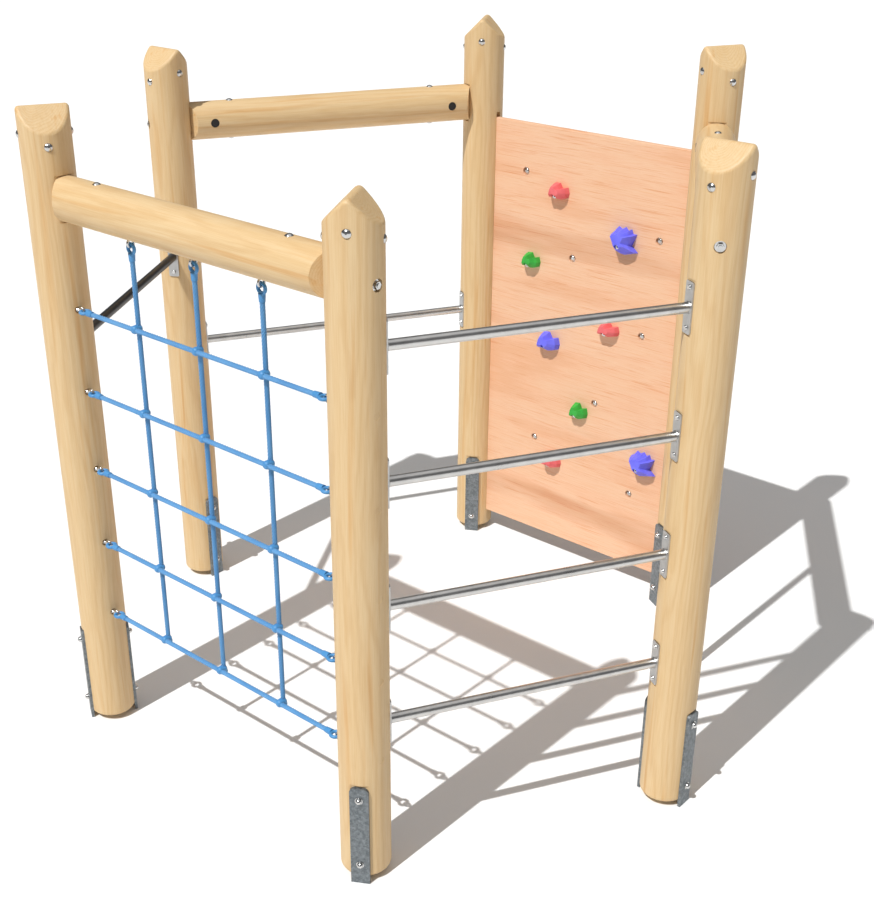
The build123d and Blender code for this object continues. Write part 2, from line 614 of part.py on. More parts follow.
with BuildPart() as anchor_bolts:
    for index in range(SIDE_COUNT):
        with BuildSketch(heads[index]):
            with Locations([(0, z) for z in ANCHOR_BOLT_ZS]):
                Circle(ANCHOR_BOLT_DIA / 2)
        extrude(amount=POST_R + BAR_PROUD + NUT_BORE_DEPTH, both=True)
anchor_bolts.part.label = "anchor_bolts"
export_step(anchor_bolts.part, "parts/anchor_bolts.step")

with BuildPart() as anchor_nuts:
    for index in range(SIDE_COUNT):
        for z in ANCHOR_BOLT_ZS:
            for way in (1, -1):
                axis = heads[index].z_dir * way
                face = stands[index] + axis * (POST_R + BAR_PROUD) + Vector(0, 0, z)
                with Locations(Plane(origin=face, z_dir=axis)):
                    add(anchor_nut.part, clean=False)
anchor_nuts.part.label = "anchor_nuts"
export_step(anchor_nuts.part, "parts/anchor_nuts.step")

# Studs that draw each beam end onto its post, their nuts on washers in the
# recess behind the post, the cross dowels they screw into and the plugs.
with BuildPart() as stud_nut:
    with BuildSketch(Plane.XY):
        Circle(STUD_WASHER_DIA / 2)
        Circle(STUD_DIA / 2, mode=Mode.SUBTRACT)
    extrude(amount=STUD_WASHER_T)
    with BuildSketch(Plane.XY.offset(STUD_WASHER_T)):
        RegularPolygon(STUD_NUT_AF / 2, 6, major_radius=False)
        Circle(STUD_DIA / 2, mode=Mode.SUBTRACT)
    extrude(amount=STUD_NUT_T)

with BuildPart() as beam_studs:
    for side in BEAM_SIDES.values():
        for plane, sign in ends[side]:
            with BuildSketch(plane.offset(-STUD_BACK)):
                with Locations((0, BEAM_Z)):
                    Circle(STUD_DIA / 2)
            extrude(amount=STUD_BACK + STUD_FRONT)
beam_studs.part.label = "beam_studs"
export_step(beam_studs.part, "parts/beam_studs.step")

with BuildPart() as cross_dowels:
    for side in BEAM_SIDES.values():
        for inset in (DOWEL_INSET, LONG_SPAN - DOWEL_INSET):
            with BuildSketch(walls[side].offset(-DOWEL_LEN / 2)):
                with Locations((inset, BEAM_Z)):
                    Circle(DOWEL_DIA / 2)
            extrude(amount=DOWEL_LEN)
        with BuildSketch(ends[side][0][0]):
            with Locations((0, BEAM_Z)):
                Circle(STUD_DIA / 2)
        extrude(amount=LONG_SPAN, mode=Mode.SUBTRACT)
cross_dowels.part.label = "cross_dowels"
export_step(cross_dowels.part, "parts/cross_dowels.step")

with BuildPart() as beam_plugs:
    for side in BEAM_SIDES.values():
        for inset in (DOWEL_INSET, LONG_SPAN - DOWEL_INSET):
            with BuildSketch(walls[side].offset(PLUG_T - BEAM_R)) as flange:
                with Locations((inset, BEAM_Z)):
                    Circle(PLUG_DIA / 2)
            extrude(amount=-PLUG_T, taper=20)
            with BuildSketch(walls[side].offset(PLUG_T - BEAM_R)):
                with Locations((inset, BEAM_Z)):
                    Circle(DOWEL_DIA / 2)
            extrude(amount=PLUG_SPIGOT)
beam_plugs.part.label = "beam_plugs"
export_step(beam_plugs.part, "parts/beam_plugs.step")

# ------------------------------------------------------------------ rope net
# Taut ropes: five level ones and three upright ones, crossing side by side.
net = walls[NET_SIDE]
rope_reach = RING_OUT + ROPE_START
for row, z in enumerate(ROPE_ZS):
    label = "rope_level_%d" % (row + 1)
    with BuildPart() as rope:
        with BuildSketch(ends[NET_SIDE][0][0].offset(rope_reach)):
            with Locations((-ROPE_OFF, z)):
                Circle(ROPE_R)
        extrude(amount=LONG_SPAN - 2 * rope_reach)
    rope.part.label = label
    export_step(rope.part, "parts/%s.step" % label)

rope_low = ROPE_ZS[0] - JOINER_DIA / 2
for col, x in enumerate(ROPE_XS):
    label = "rope_upright_%d" % (col + 1)
    foot = Plane(origin=net.from_local_coords((x, rope_low, -ROPE_OFF)), z_dir=(0, 0, 1))
    with BuildPart() as rope:
        with BuildSketch(foot):
            Circle(ROPE_R)
        extrude(amount=RING_Z - ROPE_START - rope_low)
    rope.part.label = label
    export_step(rope.part, "parts/%s.step" % label)

# Moulded joiners gripping both ropes at every crossing; the lowest ones end
# in a knob that closes the upright rope.
joiner_half = ROPE_OFF + ROPE_R + JOINER_COVER
with BuildPart() as joiner:
    with BuildSketch(Plane.XY.offset(-joiner_half)):
        Circle(JOINER_DIA / 2)
    extrude(amount=2 * joiner_half)
    fillet(joiner.edges().filter_by(GeomType.CIRCLE), JOINER_ROUND)
    with BuildSketch(Plane.YZ):
        with Locations((0, ROPE_OFF)):
            Circle(ROPE_R)
    extrude(amount=JOINER_DIA, both=True, mode=Mode.SUBTRACT)
    with BuildSketch(Plane.XZ):
        with Locations((0, -ROPE_OFF)):
            Circle(ROPE_R)
    extrude(amount=JOINER_DIA, both=True, mode=Mode.SUBTRACT)

with BuildPart() as end_joiner:
    with BuildSketch(Plane.XY.offset(-joiner_half)):
        Circle(JOINER_DIA / 2)
    extrude(amount=2 * joiner_half)
    fillet(end_joiner.edges().filter_by(GeomType.CIRCLE), JOINER_ROUND)
    with Locations((0, -KNOB_DROP, -ROPE_OFF)):
        Sphere(KNOB_R)
    with BuildSketch(Plane.YZ):
        with Locations((0, ROPE_OFF)):
            Circle(ROPE_R)
    extrude(amount=JOINER_DIA, both=True, mode=Mode.SUBTRACT)
    with BuildSketch(Plane.XZ.offset(JOINER_DIA / 2)):
        with Locations((0, -ROPE_OFF)):
            Circle(ROPE_R)
    extrude(amount=-2 * JOINER_DIA, mode=Mode.SUBTRACT)

with BuildPart() as rope_joiners:
    for z in ROPE_ZS[1:]:
        for x in ROPE_XS:
            with Locations(Plane(origin=net.from_local_coords((x, z, 0)), x_dir=net.x_dir, z_dir=net.z_dir)):
                add(joiner.part, clean=False)
    for x in ROPE_XS:
        low = net.from_local_coords((x, ROPE_ZS[0], 0))
        with Locations(Plane(origin=low, x_dir=net.x_dir, z_dir=net.z_dir)):
            add(end_joiner.part, clean=False)
rope_joiners.part.label = "rope_joiners"
export_step(rope_joiners.part, "parts/rope_joiners.step")

# Rope end: a moulded ring and a tapered sleeve pressed over the rope.
with BuildPart() as socket:
    with Locations(Location((0, 0, 0), (90, 0, 0))):
        Torus(RING_R, RING_WIRE)
    with Locations((0, 0, RING_R + SLEEVE_LEN / 2)):
        Cone(SLEEVE_DIA / 2, SLEEVE_END_DIA / 2, SLEEVE_LEN)
    with BuildSketch(Plane.XY.offset(ROPE_START)):
        Circle(ROPE_R)
    extrude(amount=SLEEVE_LEN, mode=Mode.SUBTRACT)

with BuildPart() as rope_sockets:
    for plane, sign in ends[NET_SIDE]:
        for z in ROPE_ZS:
            ring = plane.from_local_coords((sign * ROPE_OFF, z, RING_OUT))
            with Locations(Plane(origin=ring, x_dir=plane.x_dir, z_dir=plane.z_dir)):
                add(socket.part, clean=False)
    for x in ROPE_XS:
        ring = net.from_local_coords((x, RING_Z, -ROPE_OFF))
        with Locations(Plane(origin=ring, x_dir=net.x_dir, z_dir=(0, 0, -1))):
            add(socket.part, clean=False)
rope_sockets.part.label = "rope_sockets"
export_step(rope_sockets.part, "parts/rope_sockets.step")

# Steel eyes through the posts, their nuts in the recesses behind, and the
# screw-in eyes under the beam.
with BuildPart() as eye_bolt:
    back = EYE_NUT_SEAT + EYE_WASHER_T + EYE_NUT_BORE
    with BuildSketch(Plane.XY.offset(-back)):
        Circle(EYE_BOLT_DIA / 2)
    extrude(amount=back + EYE_SEAT)
    with BuildSketch(Plane.XY.offset(EYE_SEAT)):
        Circle(EYE_NECK_DIA / 2)
    extrude(amount=EYE_OUT - EYE_R - EYE_SEAT, taper=25)
    with Locations(Location((0, 0, EYE_OUT), (0, 90, 0))):
        Torus(EYE_R, EYE_WIRE)

with BuildPart() as post_eye_bolts:
    for plane, sign in ends[NET_SIDE]:
        for z in ROPE_ZS:
            spot = plane.from_local_coords((sign * ROPE_OFF, z, 0))
            with Locations(Plane(origin=spot, x_dir=plane.x_dir, z_dir=plane.z_dir)):
                add(eye_bolt.part, clean=False)
post_eye_bolts.part.label = "post_eye_bolts"
export_step(post_eye_bolts.part, "parts/post_eye_bolts.step")

with BuildPart() as eye_nut:
    with BuildSketch(Plane.XY):
        Circle(EYE_WASHER_DIA / 2)
    extrude(amount=EYE_WASHER_T)
    with BuildSketch(Plane.XY.offset(EYE_WASHER_T)):
        Circle(EYE_NUT_DIA / 2)
    extrude(amount=EYE_NUT_H)
    fillet(eye_nut.faces().sort_by(Axis.Z)[-1].edges(), EYE_NUT_DIA / 4)
    with BuildSketch(Plane.XY):
        Circle(EYE_BOLT_DIA / 2)
    extrude(amount=EYE_WASHER_T + EYE_NUT_BORE, mode=Mode.SUBTRACT)

with BuildPart() as sunk_nuts:
    for side in BEAM_SIDES.values():
        for plane, sign in ends[side]:
            seat = plane.from_local_coords((0, BEAM_Z, -STUD_SEAT))
            with Locations(Plane(origin=seat, x_dir=plane.x_dir, z_dir=-plane.z_dir)):
                add(stud_nut.part, clean=False)
    for plane, sign in ends[NET_SIDE]:
        for z in ROPE_ZS:
            spot = plane.from_local_coords((sign * ROPE_OFF, z, -EYE_NUT_SEAT))
            with Locations(Plane(origin=spot, x_dir=plane.x_dir, z_dir=-plane.z_dir)):
                add(eye_nut.part, clean=False)
sunk_nuts.part.label = "sunk_nuts"
export_step(sunk_nuts.part, "parts/sunk_nuts.step")

# Wooden plugs that close the recesses over the eye nuts, turned to the round
# of the post and set in a little.
with BuildPart() as post_plugs:
    for plane, sign in ends[NET_SIDE]:
        with BuildSketch(plane.offset(WOOD_PLUG_T - POST_R)):
            with Locations([(sign * ROPE_OFF, z) for z in ROPE_ZS]):
                Circle(EYE_NUT_RECESS_DIA / 2)
        extrude(amount=-WOOD_PLUG_T)
    with BuildSketch(Plane.XY):
        with Locations([(plane.origin.X, plane.origin.Y) for plane, sign in ends[NET_SIDE]]):
            Circle(POST_R - WOOD_PLUG_INSET)
    extrude(amount=TALL_POST, mode=Mode.INTERSECT)
post_plugs.part.label = "post_plugs"
export_step(post_plugs.part, "parts/post_plugs.step")

with BuildPart() as beam_eye:
    with BuildSketch(Plane.XY.offset(EYE_R)):
        Circle(EYE_BOLT_DIA / 2)
    extrude(amount=EYE_BELOW_BEAM + EYE_SCREW_LEN - EYE_R)
    with Locations(Location((0, 0, 0), (0, 90, 0))):
        Torus(EYE_R, EYE_WIRE)

with BuildPart() as beam_eyes:
    for x in ROPE_XS:
        spot = net.from_local_coords((x, EYE_Z, -ROPE_OFF))
        with Locations(Plane(origin=spot, x_dir=net.x_dir, z_dir=(0, 0, 1))):
            add(beam_eye.part, clean=False)
beam_eyes.part.label = "beam_eyes"
export_step(beam_eyes.part, "parts/beam_eyes.step")

# ------------------------------------------------------------------ panel
# Plywood sheet standing in the post grooves, with a bolt hole per hold and a
# nut recess on the face away from the hold.
board = walls[PANEL_SIDE]
centre = board.from_local_coords((SHORT_SPAN / 2, 0, 0))
inner_face = Plane(origin=centre, x_dir=-board.x_dir, z_dir=-board.z_dir).offset(PANEL_T / 2)
outer_face = Plane(origin=centre, x_dir=board.x_dir, z_dir=board.z_dir).offset(PANEL_T / 2)


def clear_of_posts(mould, x, z, width, height, depth):
    """A hold, moved in where its edge would come too near a post."""
    reach = SHORT_SPAN / 2 - POST_R - HOLD_POST_CLEAR - width / 2
    return mould, max(-reach, min(reach, x)), z, width, height, depth


hold_groups = [(hold[0], inner_face, [clear_of_posts(*hold[1:])]) for hold in INNER_HOLDS]
hold_groups += [(label, outer_face, [clear_of_posts(*hold) for hold in group])
                for label, group in OUTER_HOLDS.items()]
hold_table = [(face, hold) for label, face, group in hold_groups for hold in group]

with BuildPart() as panel:
    with BuildSketch(inner_face.offset(-PANEL_T)):
        with Locations((0, (PANEL_BOTTOM + PANEL_TOP) / 2)):
            Rectangle(PANEL_W, PANEL_TOP - PANEL_BOTTOM)
    extrude(amount=PANEL_T)
    fillet(panel.faces().sort_by(Axis.Z)[-1].edges().filter_by(
        lambda edge: edge.length > PANEL_W / 2), PANEL_ROUND)
    for face, (mould, x, z, width, height, depth) in hold_table:
        with BuildSketch(face):
            with Locations((x + HOLD_BOLT_DX, z + HOLD_BOLT_DZ)):
                Circle(HOLD_BOLT_DIA / 2)
        extrude(amount=-PANEL_T, mode=Mode.SUBTRACT)
        with BuildSketch(face.offset(-PANEL_T)):
            with Locations((x + HOLD_BOLT_DX, z + HOLD_BOLT_DZ)):
                Circle(PANEL_NUT_RECESS_DIA / 2)
        extrude(amount=PANEL_NUT_RECESS_DEPTH, mode=Mode.SUBTRACT)
panel.part.label = "panel"
export_step(panel.part, "parts/panel.step")

# ------------------------------------------------------------------ holds
# Cast grips: faceted lumps built up in layers, bored for a sunk bolt.
for label, face, group in hold_groups:
    grips = []
    for mould, x, z, width, height, depth in group:
        with BuildPart() as grip:
            for rise, share, shift_x, shift_z in MOULD_LAYERS:
                with BuildSketch(face.offset(depth * rise)):
                    with BuildLine():
                        Polyline(*[
                            (x + width * (u * share + shift_x), z + height * (v * share + shift_z))
                            for u, v in MOULD_OUTLINES[mould]
                        ], close=True)
                    make_face()
            loft(ruled=True)
            spot = (x + HOLD_BOLT_DX, z + HOLD_BOLT_DZ)
            with BuildSketch(face):
                with Locations(spot):
                    Circle(HOLD_BOLT_DIA / 2)
            extrude(amount=depth, mode=Mode.SUBTRACT)
            with BuildSketch(face.offset(depth * HOLD_SEATS[mould])):
                with Locations(spot):
                    Circle(HOLD_BORE_DIA / 2)
            extrude(amount=depth, mode=Mode.SUBTRACT)
        grips.append(grip.part)
    with BuildPart() as holds:
        for shape in grips:
            add(shape)
    holds.part.label = label
    export_step(holds.part, "parts/%s.step" % label)

# Socket-head bolts through the holds and the panel, and their sunk nuts.
with BuildPart() as hold_bolts:
    tail = PANEL_T - PANEL_NUT_RECESS_DEPTH + PANEL_NUT_BORE
    for face, (mould, x, z, width, height, depth) in hold_table:
        spot = (x + HOLD_BOLT_DX, z + HOLD_BOLT_DZ)
        seat = depth * HOLD_SEATS[mould]
        with BuildSketch(face.offset(-tail)):
            with Locations(spot):
                Circle(HOLD_BOLT_DIA / 2)
        extrude(amount=tail + seat)
        with BuildSketch(face.offset(seat)):
            with Locations(spot):
                Circle(HOLD_HEAD_DIA / 2)
                RegularPolygon(HOLD_SOCKET_AF / 2, 6, major_radius=False, mode=Mode.SUBTRACT)
        extrude(amount=HOLD_HEAD_T)
        with BuildSketch(face.offset(seat)):
            with Locations(spot):
                RegularPolygon(HOLD_SOCKET_AF / 2, 6, major_radius=False)
        extrude(amount=HOLD_HEAD_T - HOLD_SOCKET_DEPTH)
hold_bolts.part.label = "hold_bolts"
export_step(hold_bolts.part, "parts/hold_bolts.step")

with BuildPart() as hold_nut:
    with BuildSketch(Plane.XY):
        Circle(PANEL_NUT_FLANGE_DIA / 2)
    extrude(amount=PANEL_NUT_FLANGE_T)
    with BuildSketch(Plane.XY):
        Circle(PANEL_NUT_DIA / 2)
    extrude(amount=PANEL_NUT_H)
    fillet(hold_nut.faces().sort_by(Axis.Z)[-1].edges(), PANEL_NUT_DIA / 3)
    with BuildSketch(Plane.XY):
        Circle(HOLD_BOLT_DIA / 2)
    extrude(amount=PANEL_NUT_BORE, mode=Mode.SUBTRACT)

with BuildPart() as hold_nuts:
    for face, (mould, x, z, width, height, depth) in hold_table:
        seat = face.from_local_coords(
            (x + HOLD_BOLT_DX, z + HOLD_BOLT_DZ, PANEL_NUT_RECESS_DEPTH - PANEL_T))
        with Locations(Plane(origin=seat, x_dir=face.x_dir, z_dir=-face.z_dir)):
            add(hold_nut.part, clean=False)
hold_nuts.part.label = "hold_nuts"
export_step(hold_nuts.part, "parts/hold_nuts.step")
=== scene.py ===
import bpy
import math
import random
from mathutils import Euler, Matrix, Vector


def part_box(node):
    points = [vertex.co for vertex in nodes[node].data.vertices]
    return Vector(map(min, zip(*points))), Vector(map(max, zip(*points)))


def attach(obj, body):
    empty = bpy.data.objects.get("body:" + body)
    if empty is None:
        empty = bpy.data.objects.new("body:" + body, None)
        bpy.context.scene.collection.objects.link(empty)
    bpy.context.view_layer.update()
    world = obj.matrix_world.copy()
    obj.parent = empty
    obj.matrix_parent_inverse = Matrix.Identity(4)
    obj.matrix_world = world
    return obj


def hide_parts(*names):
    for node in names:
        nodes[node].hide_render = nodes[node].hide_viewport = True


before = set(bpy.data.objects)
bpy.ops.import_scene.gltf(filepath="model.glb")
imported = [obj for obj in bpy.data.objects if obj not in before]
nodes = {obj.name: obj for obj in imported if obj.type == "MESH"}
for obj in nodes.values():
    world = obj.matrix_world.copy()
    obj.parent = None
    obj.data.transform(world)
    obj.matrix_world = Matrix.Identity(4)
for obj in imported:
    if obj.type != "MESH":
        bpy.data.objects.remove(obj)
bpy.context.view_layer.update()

# ---------------------------------------------------------------- camera
# A standing view from in front and a little to the right, looking down over
# the heads of the posts.
STAND = (0.8552, -4.401, 3.0304)
TILT = 63.434                 # degrees up from straight down
PAN = 10.668                  # degrees left of straight ahead
camera_data = bpy.data.cameras.new("camera")
camera_data.lens = 54.34
camera_data.shift_x = 0.0259
camera_data.shift_y = 0.0323
camera_data.clip_end = 200.0
camera = bpy.data.objects.new("camera", camera_data)
camera.location = STAND
camera.rotation_euler = (math.radians(TILT), 0.0, math.radians(PAN))
bpy.context.collection.objects.link(camera)
bpy.context.scene.camera = camera
bpy.context.scene.view_settings.view_transform = "Standard"


# ---------------------------------------------------------------- posts
# Six softwood poles turned to an even round, with gabled heads, planed and
# oiled. The growth rings run round a pith near the middle of each pole, so
# the turned side shows long soft flames and the gable shows ovals.
RING_MM = 7.0                 # growth ring spacing
WAVE_MM = 314.0               # a ring wave of scale 1 repeats at this distance
FIBRE_MM = 2.0                # fibre streaks, drawn a little coarse to show
STREAK_MM = 22.0              # soft darker streaks along the grain
CUT_MM = 30.0                 # faint flats left by the turning knives
CUT_DEPTH = 0.004             # of those flats, in metres
FIBRE_DEPTH = 0.0004
DRIFT = 0.06                  # how far the rings wander, in metres
DRIFT_SCALE = (7.0, 7.0, 0.8)
PITH_OFF = 0.02               # how far a pith may lie off its post's axis
PITH_SLIDE = 3.0              # how far along its log a post may be cut
SPRUCE_IOR = 1.48             # of the oil film
OIL_ROUGHNESS = (0.45, 0.6)
WOOD_TONES = ((0.0, "#DCC094"), (0.6, "#DBBE91"), (1.0, "#D7B88A"))
STREAK_TONES = ((0.36, "#FCF7EE"), (0.55, "#FFFFFF"), (0.66, "#FBF0E0"), (0.78, "#F0D2A6"))
FIBRE_TONES = ((0.3, "#F4ECE0"), (0.6, "#FFFFFF"))


def linear(hex_colour):
    """An sRGB hex colour as linear RGBA."""
    channels = [int(hex_colour[at:at + 2], 16) / 255 for at in (1, 3, 5)]
    curved = [c / 12.92 if c <= 0.04045 else ((c + 0.055) / 1.055) ** 2.4 for c in channels]
    return (*curved, 1.0)


def add_node(tree, kind, sockets=None, stops=(), **settings):
    """Adds a node with its settings; its sockets take values or the outputs that feed them."""
    made = tree.nodes.new(kind)
    for name, value in settings.items():
        setattr(made, name, value)
    for socket, value in (sockets or {}).items():
        if isinstance(value, bpy.types.NodeSocket):
            tree.links.new(value, made.inputs[socket])
        else:
            made.inputs[socket].default_value = value
    if stops:
        marks = made.color_ramp.elements
        marks.remove(marks[1])
        marks[0].position, marks[0].color = stops[0][0], linear(stops[0][1])
        for position, hex_colour in stops[1:]:
            marks.new(position).color = linear(hex_colour)
    return made


def start_material(name):
    """A new material: itself, its tree, its shader and its object coordinates."""
    material = bpy.data.materials.new(name)
    material.use_nodes = True
    tree = material.node_tree
    tree.nodes.clear()
    shader = add_node(tree, "ShaderNodeBsdfPrincipled")
    add_node(tree, "ShaderNodeOutputMaterial", {"Surface": shader.outputs["BSDF"]})
    place = add_node(tree, "ShaderNodeTexCoord").outputs["Object"]
    return material, tree, shader, place


def dress(name, material):
    """Gives a CAD node its one material."""
    mesh = nodes[name].data
    mesh.materials.clear()
    mesh.materials.append(material)


def turned_softwood(name, pith, turn):
    """Oiled spruce: pith is a point on the pole's axis, turn brings the axis to Z."""
    material, tree, shader, place = start_material(name)
    local = add_node(tree, "ShaderNodeMapping", {
        "Vector": place, "Rotation": turn,
        "Location": -(turn.to_matrix() @ Vector(pith))}).outputs["Vector"]
    # the rings drift along the pole and flow round what were its knots
    drift = add_node(tree, "ShaderNodeTexNoise", {
        "Vector": add_node(tree, "ShaderNodeMapping", {
            "Vector": local, "Scale": DRIFT_SCALE}).outputs["Vector"],
        "Scale": 1.0, "Detail": 2.5}).outputs["Color"]
    bent = add_node(tree, "ShaderNodeVectorMath", {0: drift, 1: (0.5,) * 3}, operation="SUBTRACT")
    flow = add_node(tree, "ShaderNodeVectorMath", {
        0: bent.outputs["Vector"], 1: (DRIFT,) * 3, 2: local}, operation="MULTIPLY_ADD").outputs["Vector"]
    rings = add_node(tree, "ShaderNodeTexWave", {
        "Vector": flow, "Scale": WAVE_MM / RING_MM, "Distortion": 0.8,
        "Detail": 1.0, "Detail Scale": 0.4}, wave_type="RINGS", rings_direction="Z").outputs["Fac"]
    grown = add_node(tree, "ShaderNodeValToRGB", {"Fac": rings}, stops=WOOD_TONES).outputs["Color"]
    streaks = add_node(tree, "ShaderNodeTexNoise", {
        "Vector": add_node(tree, "ShaderNodeMapping", {
            "Vector": flow, "Scale": (1000 / STREAK_MM, 1000 / STREAK_MM, 1.2)}).outputs["Vector"],
        "Scale": 1.0, "Detail": 3.0}).outputs["Fac"]
    fibres = add_node(tree, "ShaderNodeTexNoise", {
        "Vector": add_node(tree, "ShaderNodeMapping", {
            "Vector": local, "Scale": (1000 / FIBRE_MM, 1000 / FIBRE_MM, 10.0)}).outputs["Vector"],
        "Scale": 1.0, "Detail": 2.0, "Roughness": 0.6}).outputs["Fac"]
    for fac, stops, amount in ((streaks, STREAK_TONES, 0.8), (fibres, FIBRE_TONES, 0.7)):
        tint = add_node(tree, "ShaderNodeValToRGB", {"Fac": fac}, stops=stops).outputs["Color"]
        grown = add_node(tree, "ShaderNodeMix", {
            0: amount, 6: grown, 7: tint}, data_type="RGBA", blend_type="MULTIPLY").outputs[2]
    tree.links.new(grown, shader.inputs["Base Color"])
    tree.links.new(add_node(tree, "ShaderNodeMapRange", {
        "Value": streaks, "To Min": OIL_ROUGHNESS[0],
        "To Max": OIL_ROUGHNESS[1]}).outputs["Result"], shader.inputs["Roughness"])
    shader.inputs["IOR"].default_value = SPRUCE_IOR
    cuts = add_node(tree, "ShaderNodeTexNoise", {
        "Vector": add_node(tree, "ShaderNodeMapping", {
            "Vector": local, "Scale": (1000 / CUT_MM, 1000 / CUT_MM, 1.6)}).outputs["Vector"],
        "Scale": 1.0}).outputs["Fac"]
    wide = add_node(tree, "ShaderNodeBump", {"Height": cuts, "Strength": 0.5, "Distance": CUT_DEPTH})
    fine = add_node(tree, "ShaderNodeBump", {
        "Height": fibres, "Strength": 0.3, "Distance": FIBRE_DEPTH,
        "Normal": wide.outputs["Normal"]})
    tree.links.new(fine.outputs["Normal"], shader.inputs["Normal"])
    return material


random.seed(7)
post_woods = {}
for name in sorted(nodes):
    if name.startswith("post_") and name not in ("post_eye_bolts", "post_plugs"):
        low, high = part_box(name)
        pith = ((low[0] + high[0]) / 2 + random.uniform(-PITH_OFF, PITH_OFF),
                (low[1] + high[1]) / 2 + random.uniform(-PITH_OFF, PITH_OFF),
                random.uniform(-PITH_SLIDE, PITH_SLIDE))
        post_woods[name] = turned_softwood("spruce_" + name, pith, Euler((0.0, 0.0, 0.0)))
        dress(name, post_woods[name])
# the plugs over the sunk eye nuts are cut from the same timber
dress("post_plugs", post_woods["post_front"])

# ---------------------------------------------------------------- beams
# Three turned poles of the same timber lying between posts, with a flat nose
# and two bevels at each end. Their grain runs along them.
BEAM_HEADINGS = {"beam_pole_side": 90, "beam_net_side": -30, "beam_mid_bar_side": -150}
BEAM_PITH_OFF = 0.015
for name, heading in BEAM_HEADINGS.items():
    low, high = Vector(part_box(name)[0]), Vector(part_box(name)[1])
    upright = Matrix.Rotation(math.radians(-90), 3, "Y")
    level = upright @ Matrix.Rotation(math.radians(-heading), 3, "Z")
    pith = (low + high) / 2 + Vector((0, 0, random.uniform(-BEAM_PITH_OFF, BEAM_PITH_OFF)))
    dress(name, turned_softwood("spruce_" + name, pith, level.to_euler()))

# ---------------------------------------------------------------- panel
# One sheet of stained plywood standing in grooves of two posts: a rotary-cut
# face veneer whose grain runs across in wide flames, with darker bands where
# the log's heart was peeled.
VENEER_MM = 4.5               # pore streaks
BAND_MM = 300.0               # darker bands of heartwood
FLAMES = 22.0                 # turns of the flame figure across its noise
FLAME_SCALE = (1.1, 0.6, 6.0)
PORE_DEPTH = 0.0004           # in metres
PANEL_HEADING = -30.0         # degrees from the X axis
VENEER_TONES = ((0.0, "#E9C09F"), (0.65, "#E8BB99"), (1.0, "#E4B490"))
PORE_TONES = ((0.3, "#EDC3A0"), (0.48, "#FFFFFF"), (0.78, "#F6DEC8"))
BAND_TONES = ((0.3, "#D2AC8A"), (0.44, "#FFFFFF"), (0.8, "#FFF6EC"))
material, tree, shader, place = start_material("stained_plywood")
panel_low, panel_high = Vector(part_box("panel")[0]), Vector(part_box("panel")[1])
turn = Matrix.Rotation(math.radians(-PANEL_HEADING), 3, "Z")
local = add_node(tree, "ShaderNodeMapping", {
    "Vector": place, "Location": -(turn @ ((panel_low + panel_high) / 2)),
    "Rotation": turn.to_euler()}).outputs["Vector"]
flow = add_node(tree, "ShaderNodeTexNoise", {
    "Vector": add_node(tree, "ShaderNodeMapping", {
        "Vector": local, "Scale": FLAME_SCALE}).outputs["Vector"],
    "Scale": 1.0, "Detail": 3.0}).outputs["Fac"]
turns = add_node(tree, "ShaderNodeMath", {0: flow, 1: FLAMES}, operation="MULTIPLY")
waves = add_node(tree, "ShaderNodeMath", {0: turns.outputs["Value"]}, operation="SINE")
waves = add_node(tree, "ShaderNodeMapRange", {
    "Value": waves.outputs["Value"], "From Min": -1.0}).outputs["Result"]
pores = add_node(tree, "ShaderNodeTexNoise", {
    "Vector": add_node(tree, "ShaderNodeMapping", {
        "Vector": local, "Scale": (5.0, 20.0, 1000 / VENEER_MM)}).outputs["Vector"],
    "Scale": 1.0, "Detail": 5.0, "Roughness": 0.65}).outputs["Fac"]
bands = add_node(tree, "ShaderNodeTexNoise", {
    "Vector": add_node(tree, "ShaderNodeMapping", {
        "Vector": local, "Scale": (0.4, 1.0, 1000 / BAND_MM)}).outputs["Vector"],
    "Scale": 1.0, "Detail": 3.0, "Roughness": 0.55}).outputs["Fac"]
stain = add_node(tree, "ShaderNodeValToRGB", {"Fac": waves}, stops=VENEER_TONES).outputs["Color"]
for fac, stops, amount in ((pores, PORE_TONES, 0.85), (bands, BAND_TONES, 0.75)):
    tint = add_node(tree, "ShaderNodeValToRGB", {"Fac": fac}, stops=stops).outputs["Color"]
    stain = add_node(tree, "ShaderNodeMix", {
        0: amount, 6: stain, 7: tint}, data_type="RGBA", blend_type="MULTIPLY").outputs[2]
tree.links.new(stain, shader.inputs["Base Color"])
shader.inputs["Roughness"].default_value = 0.5
bump = add_node(tree, "ShaderNodeBump", {
    "Height": pores, "Strength": 0.25, "Distance": PORE_DEPTH})
tree.links.new(bump.outputs["Normal"], shader.inputs["Normal"])
dress("panel", material)

# ---------------------------------------------------------------- anchors
# Flat steel bars bolted through the post feet, hot-dip galvanised: the zinc
# freezes in dull grey spangles a few millimetres across.
SPANGLE_MM = 5.5
CLOUD_MM = 12.5               # dull patches between the spangles
ZINC_TONES = ((0.1, "#767C80"), (0.5, "#858B8F"), (0.9, "#949A9D"))
DULL_TONES = ((0.3, "#C6CACC"), (0.65, "#FFFFFF"))
material, tree, shader, place = start_material("galvanised_steel")
spangle = add_node(tree, "ShaderNodeTexVoronoi", {
    "Vector": place, "Scale": 1000 / SPANGLE_MM}).outputs["Color"]
cloud = add_node(tree, "ShaderNodeTexNoise", {
    "Vector": place, "Scale": 1000 / CLOUD_MM, "Detail": 4.0}).outputs["Fac"]
zinc = add_node(tree, "ShaderNodeValToRGB", {"Fac": spangle}, stops=ZINC_TONES).outputs["Color"]
dull = add_node(tree, "ShaderNodeValToRGB", {"Fac": cloud}, stops=DULL_TONES).outputs["Color"]
